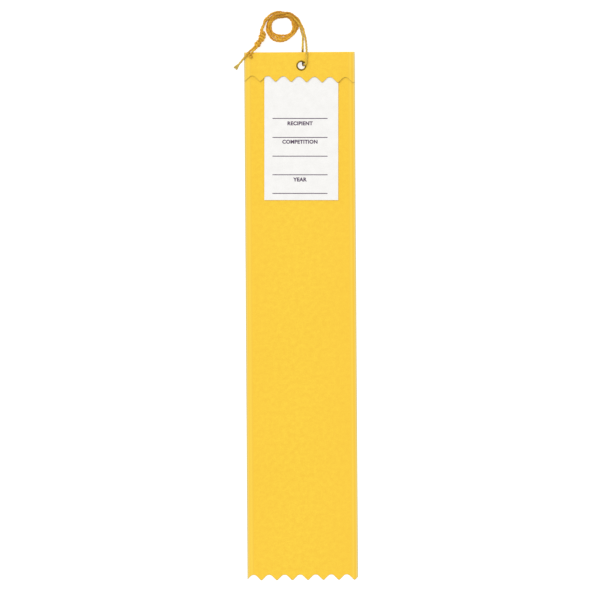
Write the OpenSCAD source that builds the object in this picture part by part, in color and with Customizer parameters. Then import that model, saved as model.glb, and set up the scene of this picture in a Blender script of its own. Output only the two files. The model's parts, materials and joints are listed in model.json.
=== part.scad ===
// Flat award ribbon with a folded, eyeleted head, an event card and a knotted hanging cord.
// It lies face up: X across the ribbon, Y along it with the cord end at +Y, Z up, in mm.
// The origin is on the surface it lies on, under the middle of the ribbon.

/* [Ribbon] */
// Width of the satin ribbon
ribbon_w = 41.3; // [38:0.1:50]
// Length from the folded top edge to the pinked tips
ribbon_l = 197.4; // [190:0.1:240]
// Thickness of the ribbon
ribbon_t = 0.25; // [0.2:0.01:0.3]
// Length of the stiff head, from the fold to the first bend of the tail
head_l = 57; // [57:1:60]

/* [Folded flap] */
// From the fold down to the line where the flap's loose lip starts
flap_l = 7.6; // [7.4:0.1:7.8]
// From the fold down to the tips of the flap's pinked edge
flap_tip = 11.2; // [10.8:0.1:11.6]
// Length of the level head, from the fold to where it slopes down
level_l = 12; // [12:0.5:14]

/* [Pinked edges] */
// Distance from tooth to tooth
tooth_pitch = 5.8; // [5.6:0.1:6]
// Rounding of the tips
tip_r = 0.5; // [0.4:0.05:0.6]
// Rounding of the valleys between them
valley_r = 1.6; // [1.4:0.05:1.8]
// From the left edge to the first tip of the flap
flap_first_tip = 0.1; // [0:0.1:2]
// From the left edge to the first tip of the tail
tail_first_tip = -0.6; // [-1:0.1:2]
// How far the flap's cut is out of square, in degrees
flap_skew = 1.3; // [0:0.1:1.5]

/* [Event card] */
// Width of the card
card_w = 27.6; // [24:0.1:28]
// Thickness of the card
card_t = 0.25; // [0.2:0.01:0.26]
// From the fold down to the card's lower edge
card_bottom = 55.3; // [50:0.1:55.4]
// How far the card reaches above the eyelet's centre
card_above = 2.9; // [2.4:0.1:3]
// How far the card lies turned on the eyelet, in degrees
card_lean = -0.4; // [-0.6:0.1:0.6]
// Gap between the card and the ribbon on each side of it
card_gap = 0.06; // [0.05:0.01:0.08]

/* [Eyelet] */
// From the fold down to the eyelet's centre
eyelet_drop = 5.05; // [4.9:0.05:5.1]
// How far the eyelet is right of the ribbon's middle
eyelet_x = 0.7; // [0:0.1:1]
// Diameter of the hole
eyelet_bore = 2.7; // [2.7:0.1:2.8]
// Diameter over the rims
eyelet_d = 3.8; // [3.7:0.1:3.9]
// Wall of the barrel
eyelet_wall = 0.15; // [0.12:0.01:0.16]

/* [Cord] */
// Diameter of the twisted cord
cord_d = 0.8; // [0.7:0.05:0.8]
// Diameter of the coil over its outer turn
coil_d = 12.3; // [12.1:0.1:12.4]
// Width of the coil's band of turns
coil_band = 2.4; // [2:0.1:2.6]
// The coil's height as a share of its width
coil_oval = 0.94; // [0.92:0.01:1]

/* [Hidden] */

satin = [0.99, 0.8, 0.27];
paper = [0.97, 0.97, 0.96];
brass = [0.72, 0.55, 0.25];
amber = [0.82, 0.58, 0.16];

// Heights of the stack at the head, from the surface up
rim_h = 0.2;                        // height of the eyelet's rear rim
dome_h = 0.25;                      // height of the eyelet's front rim
cord_rest = cord_d / 2 + 0.02;      // centre of a strand that lies on the surface
head_z = cord_rest + cord_d / 2 + 0.08 + rim_h;
card_z = head_z + ribbon_t + card_gap;
flap_z = card_z + card_t + card_gap;
flap_top = flap_z + ribbon_t;
mid_t = ribbon_t / 2;

fold_y = ribbon_l / 2;
fold_r = (flap_top - head_z) / 2;
eyelet_y = fold_y - eyelet_drop;
eyelet_outer = eyelet_bore / 2 + eyelet_wall;
tail_pitch = (ribbon_l - head_l) / 4;
end_gap = mid_t + 0.05;             // from a hinge line to the end that faces the rounded one
card_hole = eyelet_outer + 0.06;
$fn = 64;

// ---------------------------------------------------------------- flat strips

// Extrudes a side view, drawn as (y, z), across a width
module across(width) {
    translate([-width / 2, 0, 0]) rotate([90, 0, 90]) linear_extrude(width) children();
}

// The rounded end of a strip at height z, with its axis on the hinge line
module round_end(hinge_y, z) {
    across(ribbon_w) translate([hinge_y, z + mid_t]) circle(mid_t);
}

// A pinked lower edge whose tips are at y = 0: 45 degree flanks with rounded tips and valleys
function tooth_arc(x, y, r, from, to) =
    [for (i = [0:4]) let (a = from + (to - from) * i / 4) [x + r * cos(a), y + r * sin(a)]];
tooth_depth = tooth_pitch / 2 - (tip_r + valley_r) * (sqrt(2) - 1);
module pinked_outline(first_tip, height, skew = 0) {
    left = -ribbon_w / 2 + first_tip;
    teeth = floor(ribbon_w / tooth_pitch) + 2;
    edge = [for (i = [-1:teeth]) each concat(
        tooth_arc(left + i * tooth_pitch, tip_r, tip_r, 225, 315),
        tooth_arc(left + (i + 0.5) * tooth_pitch, tooth_depth - valley_r, valley_r, 135, 45))];
    slanted = [for (p = edge) [p[0], p[1] - p[0] * tan(skew)]];
    intersection() {
        polygon(concat(slanted, [[ribbon_w, height], [-ribbon_w, height]]));
        translate([-ribbon_w / 2, -1]) square([ribbon_w, height + 1]);
    }
}

// The back of the head: level under the flap, then sloping down to the surface
module back_panel() {
    level_y = fold_y - level_l;
    end_y = fold_y - head_l + end_gap;
    color(satin) difference() {
        across(ribbon_w) polygon([
            [fold_y - fold_r, head_z], [level_y, head_z], [end_y, 0],
            [end_y, ribbon_t], [level_y, head_z + ribbon_t], [fold_y - fold_r, head_z + ribbon_t]]);
        translate([eyelet_x, eyelet_y, head_z - 1]) cylinder(r = eyelet_outer, h = 2);
    }
}

// The half turn of ribbon at the top edge
module top_fold() {
    color(satin) across(ribbon_w) translate([fold_y - fold_r, head_z + fold_r]) difference() {
        circle(fold_r);
        circle(fold_r - ribbon_t);
        translate([-2 * fold_r, -2 * fold_r]) square([2 * fold_r, 4 * fold_r]);
    }
}

// The folded-over end, held by the eyelet
module front_flap() {
    lip_y = fold_y - flap_l + end_gap;
    color(satin) difference() {
        translate([-ribbon_w / 2, lip_y, flap_z]) cube([ribbon_w, fold_y - fold_r - lip_y, ribbon_t]);
        translate([eyelet_x, eyelet_y, flap_z - 1]) cylinder(r = eyelet_outer, h = 2);
    }
}

// The loose pinked lip below the eyelet
module flap_lip() {
    color(satin) {
        translate([0, fold_y - flap_tip, flap_z])
            linear_extrude(ribbon_t) pinked_outline(flap_first_tip, flap_tip - flap_l, flap_skew);
        round_end(fold_y - flap_l, flap_z);
    }
}

// The card, bent a little where the head starts to slope, with its hole around the eyelet
module event_card() {
    level_y = fold_y - level_l;
    slope = head_z / (head_l - level_l);
    low_y = fold_y - card_bottom;
    low_z = card_z - slope * (card_bottom - level_l);
    top_y = eyelet_y + card_above;
    color(paper) translate([eyelet_x, eyelet_y, 0]) rotate([0, 0, card_lean])
        translate([0, -eyelet_y, 0]) difference() {
            across(card_w) polygon([
                [top_y, card_z], [level_y, card_z], [low_y, low_z],
                [low_y, low_z + card_t], [level_y, card_z + card_t], [top_y, card_z + card_t]]);
            translate([0, eyelet_y, card_z - 1]) cylinder(r = card_hole, h = 2);
        }
}

// One-piece brass eyelet: a barrel with a domed front rim and a flatter rear rim
module rim(height) {
    rim_w = (eyelet_d - eyelet_bore) / 2;
    rim_r = (rim_w * rim_w / 4 + height * height) / (2 * height);
    intersection() {
        translate([eyelet_bore / 2 + rim_w / 2, height - rim_r]) circle(rim_r);
        translate([eyelet_bore / 2, 0]) square([rim_w, height]);
    }
}
module eyelet() {
    color(brass) translate([eyelet_x, eyelet_y, 0]) rotate_extrude() {
        translate([eyelet_bore / 2, head_z]) square([eyelet_wall, flap_top - head_z]);
        translate([0, flap_top]) rim(dome_h);
        translate([0, head_z]) mirror([0, 1]) rim(rim_h);
    }
}

// ---------------------------------------------------------------- tail

// A plain tail segment, from its hinge line to just short of the next one
module tail_segment(index) {
    hinge_y = fold_y - head_l - index * tail_pitch;
    color(satin) {
        translate([0, hinge_y - tail_pitch / 2 + end_gap / 2, mid_t])
            cube([ribbon_w, tail_pitch - end_gap, ribbon_t], center = true);
        round_end(hinge_y, 0);
    }
}

// The last segment, with the pinked end
module tail_end() {
    color(satin) {
        translate([0, -fold_y, 0]) linear_extrude(ribbon_t) pinked_outline(tail_first_tip, tail_pitch);
        round_end(tail_pitch - fold_y, 0);
    }
}

// ---------------------------------------------------------------- cord
// Routes are from the eyelet's centre on the surface: X right, Y towards the coil, Z up.

over_rim = flap_top + dome_h + cord_d / 2 + 0.05;   // centre of the strand over the front rim
on_flap = flap_top + cord_d / 2 + 0.08;             // centre of a strand on the flap
in_hole = (head_z + flap_top) / 2;                  // where the two strands part, in the eyelet
second = cord_rest + cord_d - 0.04;                 // centre of a strand that lies on another

coil_x = -6.85;
coil_y = 14.8;
coil_h = 2 * cord_d;

front_route = [
    [0.7, 0.1, in_hole], [0.72, 0.08, 2.1], [0.9, 0.08, 2.55], [1.35, 0.25, 2.75],
    [1.7, 0.8, 2.7], [1.85, 1.6, over_rim], [1.95, 2.7, 2.5], [2, 3.6, on_flap], [2, 4.5, on_flap],
    [2, 5.5, 2.4], [1.95, 7, 1.75], [1.85, 8.2, 1.2], [1.7, 9.5, 0.7], [1.5, 10.8, 0.5],
    [1.15, 12.3, 0.5], [0.75, 13.6, 0.8], [0.25, 15, 1.2], [-0.6, 16.7, 1.6]];
rear_route = [
    [0.7, 0.1, in_hole], [0.68, 0.15, 1.1], [0.62, 0.6, 0.58], [0.58, 1.2, cord_rest],
    [0.52, 2.4, cord_rest], [0.5, 3.8, cord_rest], [0.5, 5.6, cord_rest], [0.55, 7.4, cord_rest],
    [0.6, 9.2, cord_rest], [0.65, 10.6, cord_rest], [0.35, 12.5, 0.5], [-0.4, 14.5, 0.9],
    [-1.1, 16.1, 1.4]];
lead_a_route = [
    [-11.1, 19.2, cord_rest], [-12.5, 18.2, cord_rest], [-13.6, 16.75, cord_rest],
    [-14.3, 14.9, cord_rest], [-14.7, 13.8, cord_rest], [-15.1, 12.5, 0.6]];
lead_b_route = [
    [-11.2, 18, 0.7], [-12.2, 17.4, 1.1], [-13.25, 16.6, 1.25], [-14, 14.9, 1.25],
    [-14.4, 13.6, 1.25], [-14.7, 12.4, 1.4]];
long_route = [
    [-16.7, 7.9, 1.5], [-17.6, 6.9, 1.9], [-18.4, 6.2, 2.3], [-19.3, 5.4, on_flap],
    [-20.2, 4.4, on_flap], [-21.2, 3.2, on_flap], [-22.3, 1.8, on_flap], [-23.5, 0.4, 2.3]];
short_route = [
    [-16, 7.35, 1.6], [-17, 6.25, 2], [-17.8, 5.5, 2.4], [-18.85, 4.6, on_flap],
    [-19.35, 4.1, on_flap], [-19.5, 3.65, on_flap], [-19.2, 3.25, on_flap], [-18.7, 3.25, on_flap],
    [-18.35, 3.75, on_flap]];

function unit(v) = v / norm(v);
function tangent(route, i) =
    unit(route[min(i + 1, len(route) - 1)] - route[max(i - 1, 0)]);

// A tube through a route's points. side is a direction that the route never follows.
module tube(route, side) {
    sides = 8;
    rings = len(route);
    points = [for (i = [0:rings - 1])
        let (t = tangent(route, i), u = unit(cross(t, side)), v = cross(t, u))
        for (k = [0:sides - 1]) route[i] + (u * cos(45 * k) + v * sin(45 * k)) * cord_d / 2];
    walls = [for (i = [0:rings - 2], k = [0:sides - 1])
        let (a = i * sides + k, b = i * sides + (k + 1) % sides) [a, a + sides, b + sides, b]];
    ends = [[for (k = [0:sides - 1]) k], [for (k = [sides - 1:-1:0]) (rings - 1) * sides + k]];
    polyhedron(points, concat(walls, ends));
}

// Places what is drawn from the eyelet's centre
module at_eyelet() {
    color(amber) translate([eyelet_x, eyelet_y, 0]) children();
}

module cord_front() { at_eyelet() tube(front_route, [1, -0.3, 0.1]); }
module cord_rear() { at_eyelet() tube(rear_route, [1, 0, 0]); }
module cord_lead_a() { at_eyelet() tube(lead_a_route, [0, 0, 1]); }
module cord_lead_b() { at_eyelet() tube(lead_b_route, [0, 0, 1]); }
module cord_tail_long() { at_eyelet() tube(long_route, [0, 0, 1]); }
module cord_tail_short() { at_eyelet() tube(short_route, [0, 0, 1]); }

// The outer shape of the coil's turns
module cord_coil() {
    at_eyelet() translate([coil_x, coil_y, coil_h / 2]) scale([1, coil_oval, 1]) rotate_extrude() {
        translate([coil_d / 2 - coil_h / 2, 0]) circle(coil_h / 2);
        translate([coil_d / 2 - coil_band + coil_h / 2, 0]) circle(coil_h / 2);
        translate([coil_d / 2 - coil_band + coil_h / 2, -coil_h / 2]) square([coil_band - coil_h, coil_h]);
    }
}

// A barrel-shaped knot of both strands, turned about the vertical, with a flat where they leave it
module knot(place, turn, radius, half_length) {
    rise = radius - cord_d / 2;
    arc_r = (rise * rise + half_length * half_length) / (2 * rise);
    at_eyelet() translate(place) rotate([90, 0, turn]) rotate_extrude() intersection() {
        translate([radius - arc_r, 0]) circle(arc_r);
        translate([0, -half_length]) square([radius, 2 * half_length]);
    }
}
module knot_upper() { knot([-14.75, 10.95, 1.35], -17, 1.25, 1.9); }
module knot_lower() { knot([-16.25, 8.15, 1.6], -34, 1.15, 1.25); }

// The loosened end of the long tail
module frayed_tip() {
    at_eyelet() translate(long_route[len(long_route) - 1]) rotate([0, 0, 220]) rotate([0, 95, 0])
        cylinder(r1 = cord_d / 2, r2 = 0.75, h = 2.2);
}

back_panel();
top_fold();
front_flap();
flap_lip();
event_card();
eyelet();
tail_segment(0);  // tail_1
tail_segment(1);  // tail_2
tail_segment(2);  // tail_3
tail_end();  // tail_4
cord_front();
cord_rear();
cord_coil();
cord_lead_a();
cord_lead_b();
knot_upper();
knot_lower();
cord_tail_long();
cord_tail_short();
frayed_tip();
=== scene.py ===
# %% [markdown]
# # An award ribbon, from its frame to its finish
#
# The real object is one strip of yellow satin, folded over at the top, with a small brass
# eyelet through the fold, a white event card held under the folded flap, and an amber
# twisted cord threaded through the eyelet, coiled up and knotted. The frame gives each
# part's place and size. This lesson adds what a frame can't: cloth, yarn, paper and print.

import json
import math
import random

import bmesh
import bpy
import numpy as np
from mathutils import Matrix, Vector


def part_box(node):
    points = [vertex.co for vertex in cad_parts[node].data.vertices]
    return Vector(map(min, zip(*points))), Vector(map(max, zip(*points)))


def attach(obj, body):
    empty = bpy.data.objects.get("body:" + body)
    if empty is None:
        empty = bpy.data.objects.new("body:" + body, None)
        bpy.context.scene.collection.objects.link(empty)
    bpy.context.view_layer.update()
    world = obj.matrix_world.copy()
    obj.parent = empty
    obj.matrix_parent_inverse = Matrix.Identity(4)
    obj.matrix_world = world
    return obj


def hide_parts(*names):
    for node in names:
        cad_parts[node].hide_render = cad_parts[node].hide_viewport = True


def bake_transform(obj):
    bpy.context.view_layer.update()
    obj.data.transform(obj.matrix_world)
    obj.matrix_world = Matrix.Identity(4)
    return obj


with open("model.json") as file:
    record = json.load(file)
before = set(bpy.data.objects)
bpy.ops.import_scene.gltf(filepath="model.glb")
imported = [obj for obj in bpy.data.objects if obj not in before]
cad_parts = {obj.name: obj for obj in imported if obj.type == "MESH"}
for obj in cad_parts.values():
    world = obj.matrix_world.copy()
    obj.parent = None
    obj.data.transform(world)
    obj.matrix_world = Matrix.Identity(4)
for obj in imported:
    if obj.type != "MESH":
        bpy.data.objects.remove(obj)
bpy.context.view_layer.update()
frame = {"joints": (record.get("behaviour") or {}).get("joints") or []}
MM = 0.001
scene = bpy.context.scene

# %% Places and sizes that the frame gives, in millimetres


def box_mm(node):
    low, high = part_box(node)
    return np.array(low) / MM, np.array(high) / MM


hinge_mm = {j["name"]: np.array(j["pos_m"]) / MM for j in frame["joints"]}
panel_high = box_mm("back_panel")[1]
tail_low, tail_high = box_mm("tail_1")
flap_high = box_mm("front_flap")[1]
card_low, card_high = box_mm("event_card")
eyelet_low, eyelet_high = box_mm("eyelet")
half_w = panel_high[0]
strip_t = tail_high[2] - tail_low[2]
head_z = panel_high[2] - strip_t
flap_top = flap_high[2]
axis_y, fold_y = (corner[1] for corner in box_mm("top_fold"))
tail_tip_y = box_mm("tail_4")[0][1]
eyelet_at = (eyelet_low + eyelet_high) / 2
print("ribbon", round(2 * half_w, 1), "by", round(fold_y - tail_tip_y, 1), "mm, strip", round(strip_t, 2))

# %% [markdown]
# ## Camera, floor and light
#
# The ribbon is shown flat, from straight above. A long lens far away keeps its edges
# parallel, as a copy stand does. The view is 224 mm wide, and the ribbon lies in it turned
# by a third of a degree. A white floor that glows faintly like a light table, an even white
# sky and one broad soft lamp beyond the ribbon's top left give the light of a catalogue.

# %% Camera
view_w = 224.4
view_centre = (-0.37, 6.04)
camera_height = 2500
ribbon_turn = math.radians(0.37)
camera = bpy.data.objects.new("camera", bpy.data.cameras.new("camera"))
scene.collection.objects.link(camera)
scene.camera = camera
camera.location = Vector((*view_centre, camera_height)) * MM
camera.rotation_euler = (0, 0, -ribbon_turn)
camera.data.lens = camera.data.sensor_width * camera_height / view_w
camera.data.clip_end = 20
print("lens", round(camera.data.lens), "mm")

# %% Floor and light


def plain_material(name, colour, roughness):
    material = bpy.data.materials.new(name)
    material.use_nodes = True
    shader = material.node_tree.nodes["Principled BSDF"]
    shader.inputs["Base Color"].default_value = (*colour, 1)
    shader.inputs["Roughness"].default_value = roughness
    return material, shader


def add_mesh(name, vertices, faces, material, smooth=True):
    """A mesh object from points in millimetres."""
    mesh = bpy.data.meshes.new(name)
    mesh.from_pydata((np.asarray(vertices) * MM).tolist(), [], faces)
    mesh.validate()
    if smooth:
        mesh.shade_smooth()
    mesh.materials.append(material)
    piece = bpy.data.objects.new(name, mesh)
    scene.collection.objects.link(piece)
    return piece


floor_half = 3000
floor_z = -0.02
floor_material, floor_shader = plain_material("pale_floor", (0.4, 0.4, 0.4), 0.9)
floor_shader.inputs["Emission Color"].default_value = (1, 1, 1, 1)
floor_shader.inputs["Emission Strength"].default_value = 0.72
corners = [(x * floor_half, y * floor_half, floor_z) for x, y in ((-1, -1), (1, -1), (1, 1), (-1, 1))]
floor = add_mesh("floor", corners, [(0, 1, 2, 3)], floor_material)

sky = bpy.data.worlds.new("sky")
sky.use_nodes = True
sky.node_tree.nodes["Background"].inputs["Color"].default_value = (1, 1, 1, 1)
sky.node_tree.nodes["Background"].inputs["Strength"].default_value = 0.8
scene.world = sky
scene.view_settings.view_transform = "Standard"

lamp = bpy.data.objects.new("soft_lamp", bpy.data.lights.new("soft_lamp", "SUN"))
lamp_way = Vector((0.4, -0.5, -1))
scene.collection.objects.link(lamp)
lamp.data.energy = 1.24
lamp.data.angle = math.radians(38)
lamp.rotation_euler = lamp_way.to_track_quat("-Z", "Y").to_euler()
print("floor, sky and one lamp")

# %% [markdown]
# ## The cord's route
#
# The cord is one length of twisted yarn, bent double through the eyelet. Its two strands run
# side by side: over and under the folded edge, two and a third times round a small coil, on
# to two knots, and out into a long tail and a short hooked one. Where it isn't coiled, its
# route is a short list of places. The coil has keys of angle, radius and height, and then
# the strands push each other apart until they lie beside and on each other as real ones do.

# %% Route of each strand, from the eyelet's centre on the table, in millimetres
cord_d = 0.8
rest, second = 0.42, 1.18  # the height of a strand on the table, and of one on another
on_flap = flap_top + 0.48
over_rim = eyelet_high[2] + 0.45
in_hole = (head_z + flap_top) / 2
coil_centre = np.array([-6.75, 14.9])

front_start = [
    [0.7, 0.1, in_hole], [0.72, 0.08, 2.1], [0.9, 0.08, 2.55], [1.35, 0.25, 2.75],
    [1.7, 0.8, 2.7], [1.85, 1.6, over_rim], [1.95, 2.7, 2.5], [2, 3.6, on_flap], [2, 4.5, on_flap],
    [2, 5.5, 2.48], [1.95, 7, 1.88], [1.85, 8.2, 1.25], [1.7, 9.5, 0.7], [1.5, 10.8, 0.5],
    [1.15, 12.3, 0.5], [0.75, 13.6, 0.8], [0.25, 15, 1.2], [-0.6, 16.7, 1.6]]
rear_start = [
    [0.7, 0.1, in_hole], [0.68, 0.15, 1.1], [0.62, 0.6, 0.58], [0.58, 1.2, rest],
    [0.52, 2.4, rest], [0.5, 3.8, rest], [0.5, 5.6, rest], [0.55, 7.4, rest],
    [0.6, 9.2, rest], [0.65, 10.6, rest], [0.35, 12.5, 0.5], [-0.4, 14.5, 0.9],
    [-1.1, 16.1, 1.4]]
front_end = [
    [-13.6, 16.75, rest], [-14.3, 14.9, rest], [-14.7, 13.8, rest], [-15.1, 12.5, 0.6],
    [-15.15, 11, 1.2], [-15.8, 9.6, 1.3], [-16.7, 7.9, 1.5], [-17.6, 6.9, 1.9], [-18.4, 6.2, 2.3],
    [-19.3, 5.4, on_flap], [-20.2, 4.4, on_flap], [-21.2, 3.2, on_flap], [-22.3, 1.8, on_flap],
    [-23.5, 0.4, 2.3]]
rear_end = [
    [-13.25, 16.6, 1.25], [-14, 14.9, 1.25], [-14.4, 13.6, 1.25], [-14.7, 12.4, 1.4],
    [-14.6, 11, 1.5], [-15.2, 9.2, 1.6], [-16.1, 7.5, 1.65], [-17.1, 6.4, 2.12], [-17.95, 5.6, 2.46],
    [-18.85, 4.6, on_flap], [-19.35, 4.1, on_flap], [-19.5, 3.65, on_flap],
    [-19.2, 3.25, on_flap], [-18.7, 3.25, on_flap], [-18.35, 3.75, on_flap]]


def coil_turns(keys):
    """Points every 15 degrees round the coil, between keys of (angle, radius, height)."""
    angle, radius, height = np.array(keys).T
    at = np.arange(angle[0], angle[-1] + 1, 15)
    r, z = np.interp(at, angle, radius), np.interp(at, angle, height)
    x, y = coil_centre[0] + r * np.cos(np.radians(at)), coil_centre[1] + r * np.sin(np.radians(at))
    return np.stack([x, y, z], axis=1).tolist()


front_coil = coil_turns([
    (45, 5.6, 1.9), (90, 4.65, 2.1), (135, 5, 1.5), (180, 5.5, second), (210, 5.6, second),
    (240, 5.4, second), (255, 5.25, second), (270, 5.2, second), (300, 4.8, second),
    (330, 5, 1.1), (375, 5, rest), (405, 5, rest), (450, 4.3, rest), (495, 5, rest),
    (540, 6.1, rest), (585, 6.3, rest), (600, 6.2, rest), (630, 5.6, rest), (660, 4.95, rest),
    (675, 4.9, rest), (720, 5.3, rest), (750, 5.75, rest), (780, 5.2, rest), (810, 5.05, rest),
    (840, 6, rest), (855, 6.5, rest), (870, 6.75, rest)])
rear_coil = coil_turns([
    (45, 4.9, 1.7), (90, 3.95, 1.5), (135, 4.4, 1.3), (180, 4.95, second), (210, 4.9, second),
    (240, 4.6, second), (255, 4.48, second), (270, 4.5, second), (285, 4.3, second),
    (300, 4.1, second), (330, 4.2, 1.1), (360, 4.4, 0.6), (375, 4.5, rest), (390, 4.55, rest),
    (420, 3.85, rest), (450, 3.5, rest), (480, 3.75, rest),
    (495, 4.1, rest), (510, 4.6, rest), (540, 5.1, rest), (570, 5.15, rest), (585, 4.3, rest),
    (600, 4, rest), (615, 3.88, rest), (630, 3.58, rest), (645, 3.85, rest), (660, 3.95, rest),
    (675, 4.1, rest), (720, 4.4, rest), (765, 4.65, second), (810, 4.4, second),
    (840, 4.9, 0.9), (865, 5.5, 0.8), (880, 6.05, 1.15)])
front_keys = np.array(front_start + front_coil + front_end)
rear_keys = np.array(rear_start + rear_coil + rear_end)
print(len(front_keys), "and", len(rear_keys), "points")

# %% Smooth lines through the points, settled against each other
step = 0.35


def smooth_line(keys, spacing):
    """A Catmull-Rom curve through the keys, at an even spacing."""
    p = np.vstack([2 * keys[0] - keys[1], keys, 2 * keys[-1] - keys[-2]])
    t = np.linspace(0, 1, 12, endpoint=False)[:, None]
    spans = [
        0.5 * (2 * b + (c - a) * t + (2 * a - 5 * b + 4 * c - d) * t**2 + (3 * b - a - 3 * c + d) * t**3)
        for a, b, c, d in zip(p[:-3], p[1:-2], p[2:-1], p[3:])]
    return evenly(np.vstack([*spans, keys[-1:]]), spacing)


def evenly(line, spacing):
    """The same line with its points an even distance apart."""
    along = np.concatenate([[0], np.cumsum(np.linalg.norm(np.diff(line, axis=0), axis=1))])
    at = np.linspace(0, along[-1], max(2, round(along[-1] / spacing)) + 1)
    return np.stack([np.interp(at, along, line[:, k]) for k in range(3)], axis=1)


def settle(strands, free_box, rounds):
    """Strands sink, push apart to a diameter and ease their kinks. Only points in the box move."""
    home = np.vstack(strands)
    points = home.copy()
    owner = np.concatenate([[i] * len(s) for i, s in enumerate(strands)])
    order = np.concatenate([np.arange(len(s)) for s in strands])
    next_door = (owner[:, None] == owner) & (abs(order[:, None] - order) * step < 2.5 * cord_d)
    (x0, y0), (x1, y1) = free_box
    free = ((home[:, 0] > x0) & (home[:, 0] < x1) & (home[:, 1] > y0) & (home[:, 1] < y1)).astype(float)
    for _ in range(rounds):
        apart = points[:, None] - points
        distance = np.linalg.norm(apart, axis=2) + 1e-9
        share = np.where(next_door | (distance > cord_d), 0, (cord_d - distance) / distance)
        push = (apart * share[:, :, None]).sum(1) / np.maximum((share > 0).sum(1), 1)[:, None]
        ease = np.zeros_like(points)
        ease[1:-1] = (points[:-2] + points[2:]) / 2 - points[1:-1]
        pull = (home - points) * [0.02, 0.02, 0]
        points += free[:, None] * (0.7 * push + 0.25 * ease + pull - [0, 0, 0.004])
        points[:, 2] = np.where(free > 0, np.maximum(points[:, 2], rest), points[:, 2])
    apart = np.linalg.norm(points[:, None] - points, axis=2)
    crossing = ~next_door & (free[:, None] * free > 0)
    print("closest strands", round(float(apart[crossing].min()), 2), "mm apart")
    return [points[owner == i] for i in range(len(strands))]


coil_box = ((-13.2, 11), (1.2, 22))
front_line, rear_line = settle(
    [smooth_line(front_keys, step), smooth_line(rear_keys, step)], coil_box, 200)
place = np.array([eyelet_at[0], eyelet_at[1], 0])
ring_step = 0.16


def laid_by_hand(line):
    """Yarn never follows a clean curve: beyond the fold, neighbours stray together by up to 0.09 mm."""
    line = smooth_line(line, ring_step)
    x, y = line[:, 0], line[:, 1]
    loose = np.clip((y - fold_y - 5) / 3, 0, 1) * 0.09
    stray = np.stack([np.sin(1.7 * y + 0.6 * x), np.sin(1.5 * x - 0.5 * y + 1), 0 * x], axis=1)
    return line + stray * loose[:, None]


front_line, rear_line = laid_by_hand(front_line + place), laid_by_hand(rear_line + place)


def length_mm(line):
    return float(np.linalg.norm(np.diff(line, axis=0), axis=1).sum())


print("strands", round(length_mm(front_line), 1), "and", round(length_mm(rear_line), 1), "mm long")

# %% [markdown]
# ## Shared finishes
#
# Cloth, yarn and paper all have a fine even grain, and every soft thing is a little uneven
# in tone. Each of these effects is a node group, built once and placed in each material with
# its own values. The groups read the UV map, where one unit is 100 mm of the real material,
# so the weave stays in the cloth when the ribbon bends.

# %% Node helpers


def new_group(name, inputs, outputs):
    """A shader node group with float inputs {name: default} and outputs {name: socket type}."""
    group = bpy.data.node_groups.new(name, "ShaderNodeTree")
    group.interface.new_socket("Vector", in_out="INPUT", socket_type="NodeSocketVector")
    for label, value in inputs.items():
        socket = group.interface.new_socket(label, in_out="INPUT", socket_type="NodeSocketFloat")
        socket.default_value = value
    for label, kind in outputs.items():
        group.interface.new_socket(label, in_out="OUTPUT", socket_type=kind)
    return group, group.nodes.new("NodeGroupInput"), group.nodes.new("NodeGroupOutput")


def node(tree, kind, links=(), **values):
    """A node with its properties or sockets set, and links (from socket, to input name)."""
    made = tree.nodes.new("ShaderNode" + kind)
    for key, value in values.items():
        if hasattr(made, key):
            setattr(made, key, value)
        else:
            made.inputs[key.replace("_", " ")].default_value = value
    for source, label in links:
        tree.links.new(source, made.inputs[label])
    return made


def maths(tree, operation, first, second):
    """The result of a Math node. Each operand is a socket or a number."""
    made = tree.nodes.new("ShaderNodeMath")
    made.operation = operation
    for slot, value in enumerate((first, second)):
        if isinstance(value, (int, float)):
            made.inputs[slot].default_value = value
        else:
            tree.links.new(value, made.inputs[slot])
    return made.outputs[0]


def blend_colours(tree, mask, first, second):
    """The result of a Mix node between two colours, given as RGB tuples or sockets."""
    made = tree.nodes.new("ShaderNodeMix")
    made.data_type = "RGBA"
    tree.links.new(mask, made.inputs["Factor"])
    for slot, value in ((6, first), (7, second)):
        if isinstance(value, tuple):
            made.inputs[slot].default_value = (*value, 1)
        else:
            tree.links.new(value, made.inputs[slot])
    return made.outputs[2]


def ramp(tree, mask, stops):
    """The result of a colour ramp, from stops of (position, grey or RGB)."""
    made = tree.nodes.new("ShaderNodeValToRGB")
    tree.links.new(mask, made.inputs[0])
    while len(made.color_ramp.elements) < len(stops):
        made.color_ramp.elements.new(0.5)
    for element, (at, colour) in zip(made.color_ramp.elements, stops):
        element.position = at
        element.color = (*((colour,) * 3 if isinstance(colour, (int, float)) else colour), 1)
    return made.outputs[0]


print("node helpers ready")

# %% [markdown]
# Satin's face is long floats of warp crossed by few wefts, so it reads as fine ribs along the
# strip with a faint cross step. The weave group makes both from two wave textures and gives
# their height. The mottle group gives a soft unevenness of tone from two sizes of noise.

# %% Weave and mottle groups


uv_turn = 628.3  # radians in one unit of the UV map, for a pitch of 1 mm


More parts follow.
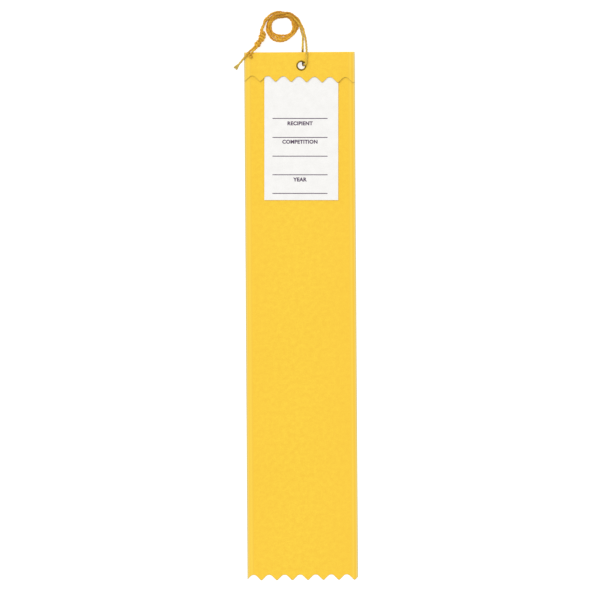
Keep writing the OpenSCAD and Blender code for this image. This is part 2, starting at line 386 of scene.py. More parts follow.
def weave_group():
    group, given, result = new_group(
        "thread_weave", {"Rib pitch": 0.28, "Cross pitch": 0.5, "Unevenness": 0.3},
        {"Height": "NodeSocketFloat"})
    split = node(group, "SeparateXYZ", [(given.outputs["Vector"], "Vector")])
    wander = node(group, "TexNoise", [(given.outputs["Vector"], "Vector")], Scale=90.0, Detail=2.0)
    sway = maths(group, "MULTIPLY", wander.outputs["Fac"], given.outputs["Unevenness"])
    waves = []
    for axis, pitch in (("X", "Rib pitch"), ("Y", "Cross pitch")):
        turns = maths(group, "DIVIDE", maths(group, "MULTIPLY", split.outputs[axis], uv_turn),
                      given.outputs[pitch])
        waves.append(maths(group, "SINE", maths(group, "ADD", turns, maths(group, "MULTIPLY", sway, 6)), 0))
    both = maths(group, "ADD", maths(group, "MULTIPLY", waves[0], 0.35),
                 maths(group, "MULTIPLY", waves[1], 0.15))
    group.links.new(maths(group, "ADD", both, 0.5), result.inputs["Height"])
    return group


def mottle_group():
    group, given, result = new_group(
        "soft_mottle", {"Scale": 60.0, "Fine scale": 250.0, "Contrast": 1.0}, {"Tone": "NodeSocketFloat"})
    tones = [
        node(group, "TexNoise", [(given.outputs["Vector"], "Vector"), (given.outputs[size], "Scale")],
             Detail=3.0, Roughness=0.6).outputs["Fac"] for size in ("Scale", "Fine scale")]
    centred = maths(group, "SUBTRACT", maths(group, "ADD", *tones), 1)
    spread = maths(group, "MULTIPLY", centred, given.outputs["Contrast"])
    group.links.new(maths(group, "ADD", spread, 0.5), result.inputs["Tone"])
    return group


weave, mottle = weave_group(), mottle_group()
print("groups:", weave.name, mottle.name)

# %% Material helpers


def place_group(tree, group, vector, **values):
    """A group's first output, with the group placed and its inputs set."""
    made = tree.nodes.new("ShaderNodeGroup")
    made.node_tree = group
    tree.links.new(vector, made.inputs["Vector"])
    for key, value in values.items():
        made.inputs[key.replace("_", " ")].default_value = value
    return made.outputs[0]


def start_material(name, roughness, **shader_values):
    """A material, its shader, its node tree and its UV map."""
    material, shader = plain_material(name, (1, 1, 1), roughness)
    for key, value in shader_values.items():
        shader.inputs[key.replace("_", " ")].default_value = value
    uv = material.node_tree.nodes.new("ShaderNodeUVMap").outputs[0]
    return material, shader, material.node_tree, uv


def add_bump(tree, shader, height, strength, distance_mm):
    bump = node(tree, "Bump", [(height, "Height")], Strength=strength, Distance=distance_mm * MM)
    tree.links.new(bump.outputs[0], shader.inputs["Normal"])


print("material helpers ready")

# %% [markdown]
# ## Satin
#
# Golden yellow, with painted shade that keeps it lighter down the middle and darker
# towards the long edges, and a woven selvedge on each long edge: bright and duller bands,
# a paler worn margin and a thin greyish outline where the weft turns. The UV map's X is the
# distance across the strip, so the bands are ramps on it, and they follow the strip through
# the fold and the bends. The cut ends of the threads are dark, and the same darkening paints
# in the thin shadow line along the pinked edges.

# %% Satin material
selvedge_w = 2.5
outline_w = 0.2
per_band = 25  # the ramps of the bands cover 4 mm from each edge


def satin_material():
    material, shader, tree, uv = start_material("golden_satin", 0.55, Sheen_Weight=0.08)
    shader.inputs["Specular IOR Level"].default_value = 0.25
    x = node(tree, "SeparateXYZ", [(uv, "Vector")]).outputs["X"]
    tone = place_group(tree, mottle, uv, Scale=60.0, Fine_scale=210.0, Contrast=2.2)
    body = blend_colours(tree, tone, (0.84, 0.515, 0.031), (0.885, 0.59, 0.04))
    across = maths(tree, "DIVIDE", x, 2 * half_w / 100)
    # Painted shade: the colour is lighter down the middle and darker towards both long edges.
    painted_edge_shade = ramp(tree, across, [(0, 0.85), (0.3, 0.1), (0.5, 0), (0.75, 0.4), (1, 1)])
    body = blend_colours(tree, maths(tree, "MULTIPLY", painted_edge_shade, 0.45), body, (0.865, 0.52, 0.036))
    left = ramp(tree, maths(tree, "MULTIPLY", x, per_band), [
        (0, 1), (0.05, 0.7), (0.12, 0.35), (0.22, 0.5), (0.35, 1), (0.48, 0.9), (0.56, 0.3), (0.64, 0.5)])
    from_right = maths(tree, "SUBTRACT", 2 * half_w / 100, x)
    right = ramp(tree, maths(tree, "MULTIPLY", from_right, per_band), [
        (0, 1), (0.06, 0.6), (0.16, 0.1), (0.26, 0.05), (0.38, 0.9), (0.46, 0.9), (0.55, 0.4), (0.64, 0.5)])
    band = maths(tree, "SUBTRACT", maths(tree, "ADD", left, right), 0.5)
    selvedge = blend_colours(tree, band, (0.83, 0.5, 0.035), (0.875, 0.585, 0.055))
    off_centre = maths(tree, "ABSOLUTE", maths(tree, "SUBTRACT", across, 0.5), 0)
    on_edge = maths(tree, "GREATER_THAN", off_centre, 0.5 - selvedge_w / (2 * half_w))
    colour = blend_colours(tree, on_edge, body, selvedge)
    from_side = maths(tree, "MULTIPLY", maths(tree, "SUBTRACT", 0.5, off_centre), 2 * half_w)
    worn = ramp(tree, from_side, [(0.25, 0.65), (0.55, 0.4), (0.95, 0)])
    colour = blend_colours(tree, worn, colour, (0.8, 0.63, 0.19))
    outline = maths(tree, "LESS_THAN", from_side, outline_w)
    colour = blend_colours(tree, outline, colour, (0.56, 0.42, 0.11))
    # Darker cut ends of the threads, with painted shadow along the pinked edge.
    cut = node(tree, "Attribute", attribute_name="cut").outputs["Fac"]
    colour = blend_colours(tree, cut, colour, (0.43, 0.3, 0.06))
    tree.links.new(colour, shader.inputs["Base Color"])
    height = place_group(tree, weave, uv, Rib_pitch=0.24, Cross_pitch=0.42)
    raised = maths(tree, "MULTIPLY", on_edge, maths(tree, "ADD", band, 0.5))
    add_bump(tree, shader, maths(tree, "ADD", height, raised), 0.35, 0.03)
    return material


satin = satin_material()
print("material:", satin.name)

# %% [markdown]
# ## Ribbon
#
# A sheet of cloth could be draped by a simulation, but this one lies flat and its folds are
# known, so it is made as a grid of points that follows the strip's length. Each grid becomes
# a closed sheet as thin as the cloth. The strip is cut where it lies flat, halfway between
# two bends, so that each piece holds one bend only. The pinked ends come from the last rows,
# which follow the rounded teeth.

# %% Sheet of cloth from a grid
column_step = 0.29
columns = round(2 * half_w / column_step)
across_x = np.linspace(-half_w, half_w, columns + 1)


def closed_grid(count, wide):
    """Faces of a closed sheet: a grid of points on its face, and then the same grid underneath."""
    lower = count * wide
    faces = []
    for i in range(count - 1):
        for j in range(wide - 1):
            a, b, c, d = i * wide + j, i * wide + j + 1, (i + 1) * wide + j + 1, (i + 1) * wide + j
            faces += [(a, b, c, d), (lower + d, lower + c, lower + b, lower + a)]
    last = lower - wide
    rim = [*range(wide), *range(2 * wide - 1, lower, wide), *range(lower - 2, last - 1, -1),
           *range(last - wide, 0, -wide)]
    return faces + [(b, a, lower + a, lower + b) for a, b in zip(rim, rim[1:] + rim[:1])]


def lay_uv(piece, flat):
    """The UV map of a sheet, from each point's place in the flat material."""
    uv = piece.data.uv_layers.new(name="length")
    for loop in piece.data.loops:
        uv.data[loop.index].uv = flat[loop.vertex_index]


def cloth_sheet(name, rows, face_up=True, cut_end_shadow_rows=()):
    """A closed sheet of satin. Each row holds, for each column, a point (x, y, z) on the face and
    the length along it. The last argument says how much each of the last rows darkens: the
    threads' cut ends, with painted shadow along the pinked edge."""
    rows = np.asarray(rows)
    count, wide = rows.shape[:2]
    face = rows[:, :, :3]
    along = np.gradient(face, axis=0)
    over = np.gradient(face, axis=1)
    normal = np.cross(over, along)
    normal /= np.linalg.norm(normal, axis=2, keepdims=True)
    if normal[0, 0, 2] * (1 if face_up else -1) < 0:
        normal = -normal
    points = np.concatenate([face.reshape(-1, 3), (face - normal * strip_t).reshape(-1, 3)])
    piece = add_mesh(name, points, closed_grid(count, wide), satin)
    flat = np.stack([rows[:, :, 0] + half_w, rows[:, :, 3]], axis=2).reshape(-1, 2) / 100
    lay_uv(piece, np.concatenate([flat, flat]))
    cut = np.zeros((count, wide))
    for back, amount in enumerate(cut_end_shadow_rows):
        cut[count - 1 - back] = amount
    cut_end_shadow_mark = piece.data.attributes.new("cut", "FLOAT", "POINT")
    cut_end_shadow_mark.data.foreach_set("value", np.concatenate([cut.ravel()] * 2))
    finish_mesh(piece)
    return piece


def finish_mesh(piece, sharp_degrees=40):
    """Normals outwards, and hard edges where the surface turns sharply."""
    work = bmesh.new()
    work.from_mesh(piece.data)
    bmesh.ops.recalc_face_normals(work, faces=work.faces)
    work.to_mesh(piece.data)
    work.free()
    piece.data.set_sharp_from_angle(angle=math.radians(sharp_degrees))


print(columns, "columns across the ribbon")

# %% Pinked edge
tooth_pitch = 5.8
tip_r, valley_r = 0.5, 1.6
tooth_depth = tooth_pitch / 2 - (tip_r + valley_r) * (math.sqrt(2) - 1)
flap_skew = math.radians(1.3)


def pinked(x, first_tip):
    """How far the edge is above the tips at x: 45 degree flanks with rounded tips and valleys."""
    from_tip = np.abs((x + half_w - first_tip + tooth_pitch / 2) % tooth_pitch - tooth_pitch / 2)
    from_valley = tooth_pitch / 2 - from_tip
    corner = math.sin(math.radians(45))
    tip = tip_r - np.sqrt(np.maximum(tip_r**2 - from_tip**2, 0))
    valley = tooth_depth - valley_r + np.sqrt(np.maximum(valley_r**2 - from_valley**2, 0))
    flank = from_tip - tip_r * (math.sqrt(2) - 1)
    return np.where(from_tip < tip_r * corner, tip, np.where(from_valley < valley_r * corner, valley, flank))


print("teeth", round(tooth_depth, 2), "mm deep")

# %% [markdown]
# The real strip never lies dead flat. A shallow swell of one or two tenths of a millimetre,
# the same for all the pieces so that they meet, catches the light unevenly. It fades out at
# the head, where the eyelet holds the layers together and the cord underneath raises them.

# %% How the strip lies
level_end = panel_high[1] - 11.57
slope_end = hinge_mm["tail_bend_1"][1] + 0.18
swell_h = 0.07


def lie(x, y):
    """Height of the strip's underside."""
    sloping = np.clip((y - slope_end) / (level_end - slope_end), 0, 1)
    swell = swell_h * (2 + np.sin(y / 13 + x / 21) + np.sin(y / 7.3 - x / 11 + 1))
    loose = np.clip((slope_end - y) / 25, 0, 1)
    return head_z * sloping + swell * loose * loose


def row_across(y, z, along):
    """A row of points across the strip, each with the length along the strip."""
    return np.stack(np.broadcast_arrays(across_x, y, z, along), axis=1)


def parts_along(length, spacing, pinked_end):
    """Shares of a length for its rows, with two more close to a pinked end."""
    parts = np.linspace(0, 1, max(2, round(length / spacing)) + 1)
    return np.sort(np.append(parts, [1 - 0.1 / length, 1 - 0.3 / length])) if pinked_end else parts


def strip_rows(y_from, y_to, edge=None):
    """Rows of the back of the strip. edge gives the last rows their pinked shape."""
    length = y_from - y_to
    rows = []
    for part in parts_along(length, 0.7, edge is not None):
        y = y_from - part * length
        if edge is not None:
            y = y + edge * np.clip((part * length - (length - tail_ease)) / tail_ease, 0, 1) ** 2
        rows.append(row_across(y, lie(across_x, y) + strip_t, y - tail_tip_y))
    return rows


tail_ease = 9
cuts = [24.0, -11.0, -46.0]
# How much the last rows of a pinked end darken: cut thread ends, with painted shadow along the edge.
cut_end_shadow_rows = (1, 0.6, 0)
print("cuts at", cuts)

# %% Holes for the eyelet
hole_r, flap_hole_r = 1.56, 1.51


def cut_hole(piece, radius, z_from, z_to):
    """The hole that the eyelet's barrel goes through."""
    points, painted_edge_shade = [], 48
    for z in (z_from, z_to):
        for k in range(painted_edge_shade):
            turn = 2 * math.pi * k / painted_edge_shade
            points.append((eyelet_at[0] + radius * math.cos(turn), eyelet_at[1] + radius * math.sin(turn), z))
    walls = [(k, (k + 1) % painted_edge_shade, painted_edge_shade + (k + 1) % painted_edge_shade, painted_edge_shade + k) for k in range(painted_edge_shade)]
    caps = [tuple(range(painted_edge_shade - 1, -1, -1)), tuple(range(painted_edge_shade, 2 * painted_edge_shade))]
    punch = add_mesh("punch", points, walls + caps, piece.data.materials[0])
    cut = piece.modifiers.new("hole", "BOOLEAN")
    cut.object = punch
    cut.operation = "DIFFERENCE"
    cut.solver = "EXACT"
    result = bpy.data.meshes.new_from_object(piece.evaluated_get(bpy.context.evaluated_depsgraph_get()))
    piece.modifiers.clear()
    piece.data = result
    bpy.data.objects.remove(punch)
    piece.data.set_sharp_from_angle(angle=math.radians(40))


print("holes", 2 * hole_r, "and", 2 * flap_hole_r, "mm wide")

# %% Back panel and the four bends
tail_edge = pinked(across_x, -0.6)
spans = [(axis_y, cuts[0]), (cuts[0], cuts[1]), (cuts[1], cuts[2]), (cuts[2], tail_tip_y)]
names = ["back_and_first_bend", "second_bend", "third_bend", "pinked_tail"]
replaced = [["back_panel", "tail_1"], ["tail_2"], ["tail_3"], ["tail_4"]]
for k, ((y_from, y_to), name) in enumerate(zip(spans, names)):
    rows = strip_rows(y_from, y_to, tail_edge if k == 3 else None)
    piece = cloth_sheet(name, rows, cut_end_shadow_rows=cut_end_shadow_rows if k == 3 else ())
    if k == 0:
        cut_hole(piece, hole_r, head_z - 1, head_z + strip_t + 0.02)
    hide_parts(*replaced[k])
    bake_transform(piece)
    print(name, len(piece.data.polygons), "faces")

# %% [markdown]
# The strip's other end comes over the top in a half turn and down to the pinked lip. The
# rows follow that curve, so the cloth in the fold is the same cloth. Past the eyelet the lip
# droops a little onto the card, and further at its two corners, beside the card.

# %% Fold and flap
outer_r = (flap_top - head_z) / 2
fold_length = outer_r * math.pi
head_length = fold_y - tail_tip_y
lift_y = hinge_mm["flap_lift"][1]
rows = [
    row_across(axis_y + outer_r * math.cos(a), head_z + outer_r + outer_r * math.sin(a),
               head_length + outer_r * (a + math.pi / 2))
    for a in np.linspace(-math.pi / 2, math.pi / 2, 17)]
flap_edge = pinked(across_x, 0.1) - across_x * math.tan(flap_skew)
flap_ease = 5
flap_length = axis_y - (fold_y - 11.2)
for part in parts_along(flap_length, 0.35, True)[1:]:
    y = axis_y - part * flap_length
    y = y + flap_edge * np.clip((part * flap_length - (flap_length - flap_ease)) / flap_ease, 0, 1) ** 1.5
    down = np.clip((lift_y + 1.5 - y) / 4, 0, 1)
    beside = np.clip((abs(across_x - eyelet_at[0]) - 14) / 3, 0, 1)
    droop = 0.03 + 0.3 * beside * beside * (3 - 2 * beside)
    rows.append(row_across(y, flap_top - droop * down, head_length + fold_length + axis_y - y))
flap = cloth_sheet("fold_and_flap", rows, face_up=False, cut_end_shadow_rows=cut_end_shadow_rows)
cut_hole(flap, flap_hole_r, head_z + 0.3, flap_top + 1)
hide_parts("top_fold", "front_flap", "flap_lip")
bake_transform(flap)
print("fold_and_flap", len(flap.data.polygons), "faces")

# %% [markdown]
# ## Event card
#
# A plain rectangle of thin card, bowed a little where the head of the ribbon slopes down.
# Its surface is smooth and almost white, with only the finest tooth. The form lines and the
# words are ink, so they are made as shapes a hundredth of a millimetre proud of the card.
# They follow its bend, and they ride with it when it turns on the eyelet.

# %% Paper and ink


def paper_material():
    material, shader, tree, uv = start_material("card_stock", 0.75)
    shader.inputs["Specular IOR Level"].default_value = 0.2
    tone = place_group(tree, mottle, uv, Scale=30.0, Fine_scale=220.0, Contrast=1.8)
    colour = blend_colours(tree, tone, (0.8, 0.79, 0.77), (0.86, 0.85, 0.83))
    tree.links.new(colour, shader.inputs["Base Color"])
    fibre = node(tree, "TexNoise", [(uv, "Vector")], Scale=900.0, Detail=4.0)
    add_bump(tree, shader, fibre.outputs["Fac"], 0.25, 0.02)
    return material


def ink_material():
    material, shader, tree, _ = start_material("form_ink", 0.6)
    body = node(tree, "TexCoord").outputs["Object"]
    worn = node(tree, "TexNoise", [(body, "Vector")], Scale=3000.0, Detail=2.0)
    colour = blend_colours(tree, worn.outputs["Fac"], (0.02, 0.006, 0.028), (0.1, 0.045, 0.12))
    tree.links.new(colour, shader.inputs["Base Color"])
    return material


paper, ink = paper_material(), ink_material()
print("materials:", paper.name, ink.name)

# %% Card
card_w, card_t = 27.6, 0.25
card_under = card_high[2] - card_t
level_to, slope_to = 12, 57  # distances from the fold
card_level_y = fold_y - level_to
card_slope = head_z / (slope_to - level_to)
card_lean = math.radians(-0.4)
card_from, card_to = 2.9, card_low[1] + 0.1 - eyelet_at[1]


def card_face(v):
    """Height of the card's face at v, the distance above the eyelet's centre."""
    return card_under + card_t - card_slope * np.maximum(card_level_y - eyelet_at[1] - v, 0)


def on_card(points):
    """Points (u, v, height above the face) from the eyelet's centre along the card, put in place."""
    u, v, h = np.asarray(points, float).T
    x = eyelet_at[0] + u * math.cos(card_lean) - v * math.sin(card_lean)
    y = eyelet_at[1] + u * math.sin(card_lean) + v * math.cos(card_lean)
    return np.stack([x, y, card_face(v) + h], axis=1)


def card_sheet():
    us = np.linspace(-card_w / 2, card_w / 2, 47)
    vs = np.linspace(card_from, card_to, 87)
    grid = [(u, v, 0) for v in vs for u in us]
    points = np.concatenate([on_card(grid), on_card([(u, v, -card_t) for u, v, _ in grid])])
    faces = [face[::-1] for face in closed_grid(len(vs), len(us))]
    piece = add_mesh("card", points, faces, paper)
    lay_uv(piece, [(u / 100, v / 100) for u, v, _ in grid] * 2)
    finish_mesh(piece)
    return piece


card = card_sheet()
cut_hole(card, hole_r, card_under - 0.2, card_under + card_t + 0.2)
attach(card, "card")
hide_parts("event_card")
print("card", round(card_from - card_to, 1), "mm long")

# %% Form lines and words
ink_h, ink_sunk = 0.012, -0.01
line_w = 0.3
line_from, line_to = -10.77, 9.8
line_at = [-19.75, -26.85, -33.85, -40.8, -47.76]
words = [("RECIPIENT", -21.58), ("COMPETITION", -28.46), ("YEAR", -42.56)]
word_centre = -0.5
capital_h = 1.5


def ink_bar(u0, u1, v0, v1):
    corners = [(u, v, h) for h in (ink_sunk, ink_h) for v in (v0, v1) for u in (u0, u1)]
    faces = [(0, 2, 3, 1), (4, 5, 7, 6), (0, 1, 5, 4), (2, 6, 7, 3), (0, 4, 6, 2), (1, 3, 7, 5)]
    return corners, faces


def word_shape(word, v):
    """A word's outline as a closed shape, with its capitals centred on v."""
    curve = bpy.data.curves.new(word, "FONT")
    curve.body = word
    curve.align_x = "CENTER"
    curve.extrude = 0.5
    curve.resolution_u = 4
    curve.space_character = 1.06
    curve.offset = 0.042
    holder = bpy.data.objects.new(word, curve)
    scene.collection.objects.link(holder)
    bpy.context.view_layer.update()
    mesh = bpy.data.meshes.new_from_object(holder.evaluated_get(bpy.context.evaluated_depsgraph_get()))
    bpy.data.objects.remove(holder)
    shape = bmesh.new()
    shape.from_mesh(mesh)
    bmesh.ops.remove_doubles(shape, verts=shape.verts, dist=1e-5)
    low = min(p.co.y for p in shape.verts)
    high = max(p.co.y for p in shape.verts)
    size = capital_h / (high - low)
    points = [(word_centre + p.co.x * size, v + (p.co.y - (low + high) / 2) * size,
               ink_h if p.co.z > 0 else ink_sunk) for p in shape.verts]
    faces = [tuple(p.index for p in face.verts) for face in shape.faces]
    shape.free()
    return points, faces


shapes = [ink_bar(line_from, line_to, v - line_w / 2, v + line_w / 2) for v in line_at]
shapes += [word_shape(word, v) for word, v in words]
points, faces = [], []
for shape_points, shape_faces in shapes:
    faces += [tuple(k + len(points) for k in face) for face in shape_faces]
    points += shape_points
print_piece = add_mesh("card_print", on_card(points), faces, ink, smooth=False)
finish_mesh(print_piece)
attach(print_piece, "card")
print("card_print", len(points), "points")

# %% [markdown]
# ## Eyelet
#
# A tiny one-piece brass eyelet: a barrel with a rolled rim in front, and behind it the rim
# that the setting tool turned over, with the small splits that this leaves. It is one
# profile swept round. The brass is old, so its colour and its shine go from brighter to
# duller in small patches.

# %% Brass


def brass_material():
    material, shader, tree, _ = start_material("old_brass", 0.35)
    place_in = node(tree, "TexCoord").outputs["Object"]
    smear = node(tree, "TexNoise", [(place_in, "Vector")], Scale=1500.0, Detail=4.0)
    dull = ramp(tree, smear.outputs["Fac"], [(0.35, 0), (0.65, 1)])
    colour = blend_colours(tree, dull, (0.3, 0.195, 0.01), (0.16, 0.095, 0.006))
    tree.links.new(colour, shader.inputs["Base Color"])
    shader.inputs["Metallic"].default_value = 1
    shader.inputs["Specular Tint"].default_value = (0.35, 0.22, 0.03, 1)
    rough = node(tree, "MapRange", [(smear.outputs["Fac"], "Value")], To_Min=0.25, To_Max=0.5)
    tree.links.new(rough.outputs[0], shader.inputs["Roughness"])
    scratch = node(tree, "TexNoise", [(place_in, "Vector")], Scale=6000.0, Detail=2.0)
    add_bump(tree, shader, scratch.outputs["Fac"], 0.2, 0.01)
    return material


brass = brass_material()

# %% Eyelet swept round
bore_r, barrel_r, rim_r = 1.35, 1.5, 1.9
rim_mid, rim_half = (bore_r + rim_r) / 2, (rim_r - bore_r) / 2
front_h, rear_h = eyelet_high[2] - flap_top, head_z - eyelet_low[2]
arc = np.linspace(0, math.pi, 13)
profile = [(rim_mid - rim_half * math.cos(t), flap_top + front_h * math.sin(t), 0) for t in arc]
profile += [(barrel_r + 0.12, flap_top - 0.02, 0), (barrel_r, flap_top - 0.1, 0), (barrel_r, head_z + 0.1, 0)]
profile += [(rim_mid + rim_half * math.cos(t), head_z - rear_h * math.sin(t), math.sin(t / 2 + math.pi / 2))
            for t in arc]
splits, split_in, around = 8, 0.12, 96
points, faces = [], []
for k in range(around):
    turn = 2 * math.pi * k / around
    split = max(0, math.cos(splits * turn)) ** 12
    for r, z, loose in profile:
        r = r - split_in * split * loose * (r > barrel_r)
        points.append((eyelet_at[0] + r * math.cos(turn), eyelet_at[1] + r * math.sin(turn), z))
ring = len(profile)
for k in range(around):
    for i in range(ring):
        a, b = k * ring, (k + 1) % around * ring
        faces.append((a + i, b + i, b + (i + 1) % ring, a + (i + 1) % ring))
eyelet = add_mesh("brass_eyelet", points, faces, brass)
finish_mesh(eyelet, 50)
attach(eyelet, "head")
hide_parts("eyelet")
print("brass_eyelet", len(faces), "faces")

# %% [markdown]
# ## Cord
#
# Yarn is best made as what it is: three plies laid round each other, each its own fine tube.
# The grooves between them then shade themselves, which no bump can do at the outline. The
# UV map runs round each ply and along the cord, so the colour can change along it: deeper
# from the coil on to the knots, partly the yarn's own colour and partly painted shade between
# the turns, with more painted shade on the far side of each turn, greyish where it has rubbed
# beside the eyelet, faded at the long end, and dark with painted shadow in the hole and under
# the fold.

# %% Yarn material
strand_v = 118  # both strands are this long in the UV map, in millimetres
ramps_end = 1.25
coil_from, coil_turn = 0.162, 0.32


def yarn_material():
    material, shader, tree, uv = start_material("amber_yarn", 0.6, Sheen_Weight=0.15)
    shader.inputs["Specular IOR Level"].default_value = 0.2
    split = node(tree, "SeparateXYZ", [(uv, "Vector")])
    along = split.outputs["Y"]
    part = maths(tree, "DIVIDE", along, ramps_end)
    # Deeper orange from the coil on to the knots: partly the yarn's own colour, partly painted shade and bounce
    # light between the turns of the coil.
    deep_and_coil_shade = ramp(tree, part, [
        (0, 0), (0.05, 0.1), (0.11, 0.5), (0.17, 1), (0.78, 0.9), (0.86, 0.65), (0.9, 0.75), (0.94, 0.2)])
    # Painted shadow: dark brown at each strand's start in the eyelet's hole; the rear strand's start is shifted on,
    # so it stays dark under the ribbon up to the folded edge.
    hole_and_fold_shadow = ramp(tree, part, [(0, 1), (0.006, 0.9), (0.016, 0)])
    faded = ramp(tree, part, [(0.905, 0), (0.945, 0.9)])
    stretched = node(tree, "CombineXYZ", [(maths(tree, "MULTIPLY", split.outputs["X"], 3), "X"),
                                          (maths(tree, "MULTIPLY", along, 0.35), "Y")])
    fibre = node(tree, "TexNoise", [(stretched.outputs[0], "Vector")], Scale=260.0, Detail=3.0)
    patch = place_group(tree, mottle, uv, Scale=20.0, Fine_scale=80.0, Contrast=2.4)
    pale = blend_colours(tree, patch, (0.62, 0.39, 0.03), (0.88, 0.62, 0.06))
    rubbed = ramp(tree, part, [(0.04, 0), (0.06, 0.5), (0.09, 0.5), (0.12, 0)])
    pale = blend_colours(tree, rubbed, pale, (0.48, 0.36, 0.12))
    deep_and_shaded_tone = blend_colours(tree, patch, (0.6, 0.24, 0.01), (0.9, 0.5, 0.03))
    colour = blend_colours(tree, deep_and_coil_shade, pale, deep_and_shaded_tone)
    colour = blend_colours(tree, faded, colour, (0.68, 0.51, 0.1))
    colour = blend_colours(tree, hole_and_fold_shadow, colour, (0.1, 0.045, 0.008))
    # Painted shade: a sine along the coil darkens the far side of every turn.
    round_coil = maths(tree, "MULTIPLY", maths(tree, "SUBTRACT", along, coil_from), 2 * math.pi / coil_turn)
    painted_turn_shade = ramp(tree, maths(tree, "SINE", round_coil, 0), [(0, 0), (1, 0.4)])
    shaded = maths(tree, "MULTIPLY", deep_and_coil_shade, painted_turn_shade)
    colour = blend_colours(tree, shaded, colour, (0.36, 0.13, 0.006))
    light = ramp(tree, fibre.outputs["Fac"], [(0.3, 0.8), (0.7, 1)])
    made = tree.nodes.new("ShaderNodeMix")
    made.data_type, made.blend_type = "RGBA", "MULTIPLY"
    made.inputs["Factor"].default_value = 1
    tree.links.new(colour, made.inputs[6])
    tree.links.new(light, made.inputs[7])
    tree.links.new(made.outputs[2], shader.inputs["Base Color"])
    add_bump(tree, shader, fibre.outputs["Fac"], 0.5, 0.05)
    return material


yarn = yarn_material()
print("material:", yarn.name)

# %% Twisted yarn
plies = 3
ply_r, ply_out = 0.225, 0.2
lay = 3.6
ply_sides = 9


def frames(line):
    """Two directions across a line, at each of its points, that never spin round it."""
    tangent = np.gradient(line, axis=0)
    tangent /= np.linalg.norm(tangent, axis=1, keepdims=True)
    side = np.cross(tangent[0], [0.3, 0.2, 0.9])
    painted_edge_shade = []
    for t in tangent:
        side = side - t * (side @ t)
        side = side / np.linalg.norm(side)
        painted_edge_shade.append(side)
    painted_edge_shade = np.array(painted_edge_shade)
    return painted_edge_shade, np.cross(tangent, painted_edge_shade)


def yarn_tube(centre, radius, u_start, v):
    """A closed tube. v is the UV length at each ring."""
    side, up = frames(centre)
    rings = len(centre)
    turn = np.linspace(0, 2 * math.pi, ply_sides, endpoint=False)
    circle = np.cos(turn)[None, :, None] * side[:, None] + np.sin(turn)[None, :, None] * up[:, None]
    points = (centre[:, None] + circle * np.broadcast_to(radius, rings)[:, None, None]).reshape(-1, 3)
    faces, uvs = [], []
    around_mm = 2 * math.pi * ply_r / 100
    for i in range(rings - 1):
        for k in range(ply_sides):
            n = (k + 1) % ply_sides
            a, b = i * ply_sides, (i + 1) * ply_sides
            faces.append((a + k, a + n, b + n, b + k))
            u0, u1 = u_start + around_mm * k / ply_sides, u_start + around_mm * (k + 1) / ply_sides
            uvs += [(u0, v[i]), (u1, v[i]), (u1, v[i + 1]), (u0, v[i + 1])]
    for first, order in ((0, range(ply_sides - 1, -1, -1)), ((rings - 1) * ply_sides, range(ply_sides))):
        faces.append(tuple(first + k for k in order))
        uvs += [(u_start, v[0 if first == 0 else -1])] * ply_sides
    return points, faces, uvs


def yarn_piece(name, tubes):
    """One piece of yarn from its tubes."""
    points, faces, uvs = [], [], []
    for tube_points, tube_faces, tube_uvs in tubes:
        faces += [tuple(k + len(points) for k in face) for face in tube_faces]
        points += tube_points.tolist()
        uvs += tube_uvs
    piece = add_mesh(name, points, faces, yarn)
    layer = piece.data.uv_layers.new(name="length")
    for loop, uv in zip(layer.data, uvs):
        loop.uv = uv
    finish_mesh(piece, 70)
    return piece


def twisted(line, v_start=0, v_step=1.0, phase=0.0, thickness=1.0):
    """The plies of one length of cord, laid round its line."""
    side, up = frames(line)
    s = np.concatenate([[0], np.cumsum(np.linalg.norm(np.diff(line, axis=0), axis=1))])
    ends = np.clip(np.minimum(s, s[-1] - s) / 0.25, 0.25, 1) ** 0.5
    wobble = 1 + 0.05 * np.sin(s * 1.7 + phase) + 0.04 * np.sin(s * 4.1 + 2 * phase)
    tubes = []
    for k in range(plies):
        turn = (2 * math.pi * (s / lay + k / plies) + phase)[:, None]
        centre = line + (side * np.cos(turn) + up * np.sin(turn)) * ply_out * thickness * wobble[:, None]
        tubes.append(yarn_tube(centre, ply_r * thickness * ends * wobble, 0.05 * k, (v_start + s * v_step) / 100))
    return tubes


print("yarn of", plies, "plies,", round(2 * (ply_r + ply_out), 2), "mm thick")

# %% Two strands
# The rear strand's UV length starts 6.1 mm back, to carry its painted shadow on to the folded edge.
for name, line, phase, shadow_shift, nodes in (
        ("front_strand", front_line, 0.4, 0, ["cord_front", "cord_coil", "cord_lead_a", "cord_tail_long"]),
        ("rear_strand", rear_line, 1.9, 6.1, ["cord_rear", "cord_lead_b", "cord_tail_short"])):
    strand = yarn_piece(name, twisted(line, -shadow_shift, strand_v / length_mm(line), phase))
    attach(strand, "cord")
    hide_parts(*nodes)
    print(name, len(strand.data.polygons), "faces")

# %% [markdown]
# Each knot is an overhand knot in both strands together, pulled tight, so what shows is two
# lengths of yarn wrapped side by side round the ones that go through. The wraps bulge in the
# middle and tuck under at both ends.

# %% Knots
knot_v, knot_v_step = 92, 6


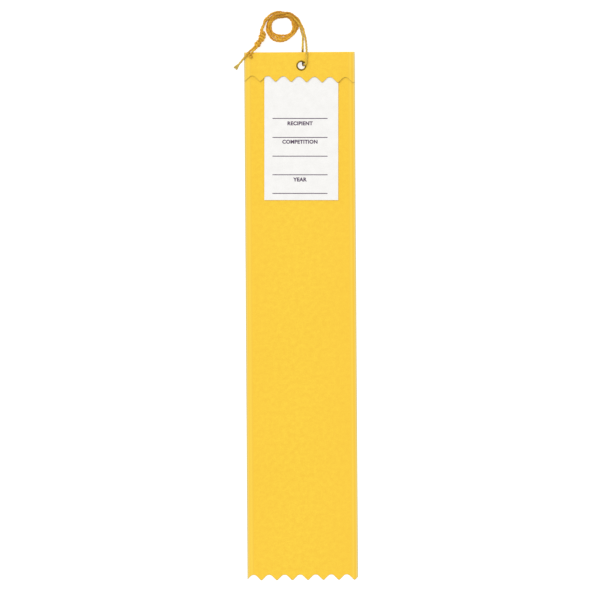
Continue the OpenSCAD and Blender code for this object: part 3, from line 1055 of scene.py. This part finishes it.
def wraps(centre, heading, half_length, radius, turns, lean, start, thickness):
    """Two strands wrapped round a knot's core. heading is in degrees, lean shifts the bulge sideways."""
    centre = np.array(centre) + place
    forward = np.array([math.cos(math.radians(heading)), math.sin(math.radians(heading)), 0])
    right, up = np.cross(forward, [0, 0, 1]), np.array([0, 0, 1])
    t = np.linspace(0, 1, 90)
    bulge = np.sin(np.pi * t) ** 0.45
    tubes = []
    for k in (0, 1):
        turn = start + 2 * math.pi * turns * t + math.pi * k
        r = 0.12 + (radius - 0.12) * bulge
        line = (centre + forward * ((2 * t - 1) * half_length)[:, None]
                + right * (lean * bulge + r * np.cos(turn))[:, None] + up * (r * 0.8 * np.sin(turn))[:, None])
        tubes += twisted(evenly(line, ring_step), knot_v + knot_v_step * k, 1, start + k, thickness)
    return tubes


knots = [
    yarn_piece("upper_knot", wraps((-14.75, 10.95, 1.35), 253, 1.85, 0.92, 1.75, -0.2, 0.6, 1.2)),
    yarn_piece("lower_knot", wraps((-16.25, 8.15, 1.6), 236, 1.2, 0.82, 1.1, 0, 2.2, 1.2))]
for knot, stand_in in zip(knots, ("knot_upper", "knot_lower")):
    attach(knot, "cord")
    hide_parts(stand_in)
print([len(knot.data.polygons) for knot in knots], "faces in the knots")

# %% [markdown]
# The long end has come untwisted. Its plies open into a little brush of fibres, made one by
# one: each starts in the cord and leans further out the further it is from the middle.

# %% Frayed end
draw = random.Random(7)
fibre_r = 0.09
end_point = front_line[-1]
end_way = front_line[-1] - front_line[-6]
end_way /= np.linalg.norm(end_way)
end_side = np.cross(end_way, [0, 0, 1])
end_side /= np.linalg.norm(end_side)
end_up = np.cross(end_side, end_way)
fibres = []
for _ in range(90):
    r, turn = math.sqrt(draw.random()), draw.uniform(0, 2 * math.pi)
    out = end_side * math.cos(turn) + end_up * math.sin(turn) * 0.6
    reach = draw.uniform(1.9, 2.35)
    curl = draw.uniform(-0.12, 0.12)
    t = np.linspace(0, 1, 9)[:, None]
    spread = 0.3 * r + 0.62 * r * t**1.2
    line = end_point - end_way * 0.35 + end_way * reach * t + out * spread + end_side * curl * np.sin(3 * t)
    fibres.append(yarn_tube(line, fibre_r * (1 - 0.4 * t[:, 0] ** 3), draw.random(), (strand_v + 2 * t[:, 0]) / 100))
frayed = yarn_piece("frayed_end", fibres)
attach(frayed, "cord")
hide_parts("frayed_tip")
print("frayed_end", len(fibres), "fibres")

# %% Cords made
print("cord pieces made")
